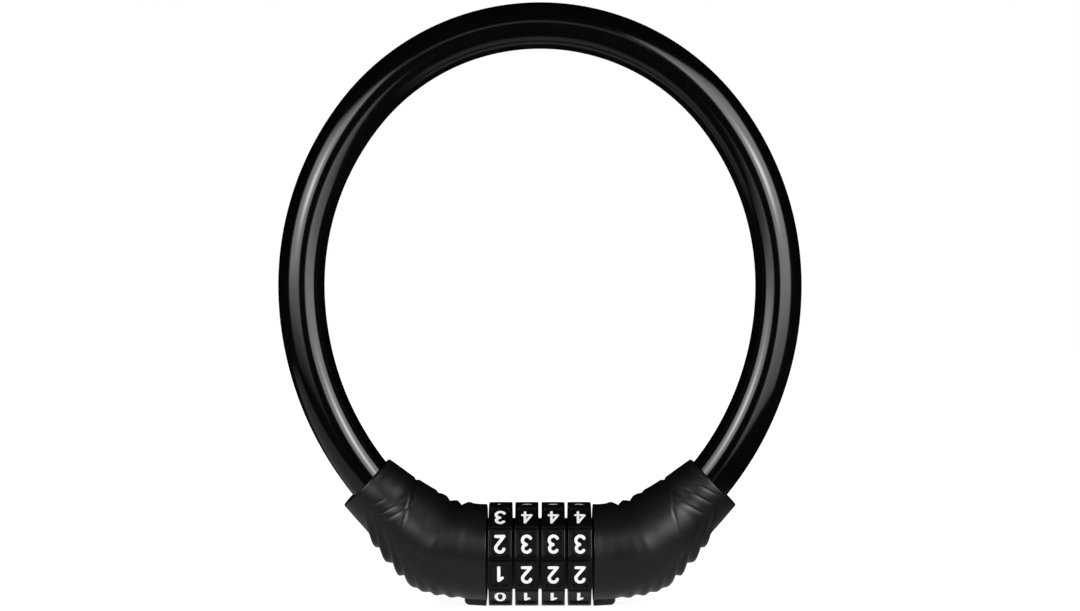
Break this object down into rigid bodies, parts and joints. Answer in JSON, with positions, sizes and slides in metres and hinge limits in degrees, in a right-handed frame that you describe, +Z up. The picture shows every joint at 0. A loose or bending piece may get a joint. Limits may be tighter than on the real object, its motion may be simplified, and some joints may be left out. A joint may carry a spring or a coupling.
{
  "type": "cable luggage lock",
  "caption": "Combination lock for luggage: a black PVC-covered steel cable loop whose plug end pulls out of a slim barrel of number dials between two ribbed elbow sleeves.",
  "frame": {"origin": "on the rest plane under the middle of the dial barrel, where the two index tabs touch", "axes": "+Z up to the top of the cable loop, +X along the dial axis toward the plug that pulls out, -Y the front as pictured"},
  "size_m": [0.1362, 0.027, 0.1567],
  "materials": {
    "jacket_pvc": "smooth glossy black PVC",
    "sleeve_plastic": "satin black moulded plastic",
    "dial_plastic": "semi-gloss black with white digits",
    "ring_plastic": "black acetal",
    "washer_black": "blackened steel",
    "tube_steel": "turned steel",
    "rivet_steel": "plain steel",
    "ferrule_steel": "swaged steel",
    "spring_steel": "spring steel",
    "hub_zinc": "die-cast zinc, bare",
    "rope_steel": "stranded galvanised steel wire"
  },
  "bodies": {
    "lock_body": {"core_tube": "tube_steel", "fixed_hub": "hub_zinc", "fixed_hub_rivets": "rivet_steel", "fixed_ferrule": "ferrule_steel", "fixed_sleeve": "sleeve_plastic", "spacer_washers": "washer_black", "detent_spring": "spring_steel", "retaining_ring": "spring_steel", "fixed_jacket": "jacket_pvc", "fixed_rope": "rope_steel"},
    "dial_1": {"dial_1": "dial_plastic", "code_ring_1": "ring_plastic"},
    "dial_2": {"dial_2": "dial_plastic", "code_ring_2": "ring_plastic"},
    "dial_3": {"dial_3": "dial_plastic", "code_ring_3": "ring_plastic"},
    "dial_4": {"dial_4": "dial_plastic", "code_ring_4": "ring_plastic"},
    "cable_left": {"left_jacket": "jacket_pvc", "left_rope": "rope_steel"},
    "cable_top": {"top_jacket": "jacket_pvc", "top_rope": "rope_steel"},
    "cable_right": {"right_jacket": "jacket_pvc", "right_rope": "rope_steel"},
    "plug": {"plug_jacket": "jacket_pvc", "plug_rope": "rope_steel", "plug_ferrule": "ferrule_steel", "plug_hub": "hub_zinc", "plug_hub_rivets": "rivet_steel", "locking_pin": "tube_steel", "plug_sleeve": "sleeve_plastic"}
  },
  "joints": [
    {"name": "dial_1_spin", "type": "hinge", "parent": "lock_body", "child": "dial_1", "pos_m": [-0.0102, 0, 0.01325], "axis": [1, 0, 0], "continuous": true, "deforming": ["detent_spring"]},
    {"name": "dial_2_spin", "type": "hinge", "parent": "lock_body", "child": "dial_2", "pos_m": [-0.0034, 0, 0.01325], "axis": [1, 0, 0], "continuous": true, "deforming": ["detent_spring"]},
    {"name": "dial_3_spin", "type": "hinge", "parent": "lock_body", "child": "dial_3", "pos_m": [0.0034, 0, 0.01325], "axis": [1, 0, 0], "continuous": true, "deforming": ["detent_spring"]},
    {"name": "dial_4_spin", "type": "hinge", "parent": "lock_body", "child": "dial_4", "pos_m": [0.0102, 0, 0.01325], "axis": [1, 0, 0], "continuous": true, "deforming": ["detent_spring"]},
    {"name": "cable_pull", "type": "hinge", "parent": "lock_body", "child": "cable_left", "pos_m": [-0.05958, 0, 0.0632], "axis": [0, 1, 0], "range_deg": [0, 18]},
    {"name": "cable_flex_upper_left", "type": "hinge", "parent": "cable_left", "child": "cable_top", "pos_m": [-0.02595, 0, 0.1447], "axis": [0, 1, 0], "range_deg": [-18, 0]},
    {"name": "cable_flex_upper_right", "type": "hinge", "parent": "cable_top", "child": "cable_right", "pos_m": [0.02595, 0, 0.1447], "axis": [0, 1, 0], "range_deg": [-18, 0]},
    {"name": "plug_follow", "type": "hinge", "parent": "cable_right", "child": "plug", "pos_m": [0.05958, 0, 0.0632], "axis": [0, 1, 0], "range_deg": [0, 18]}
  ],
  "couplings": [
    {"joint": "cable_flex_upper_left", "follows": "cable_pull", "ratio": -1},
    {"joint": "cable_flex_upper_right", "follows": "cable_pull", "ratio": -1},
    {"joint": "plug_follow", "follows": "cable_pull", "ratio": 1}
  ]
}
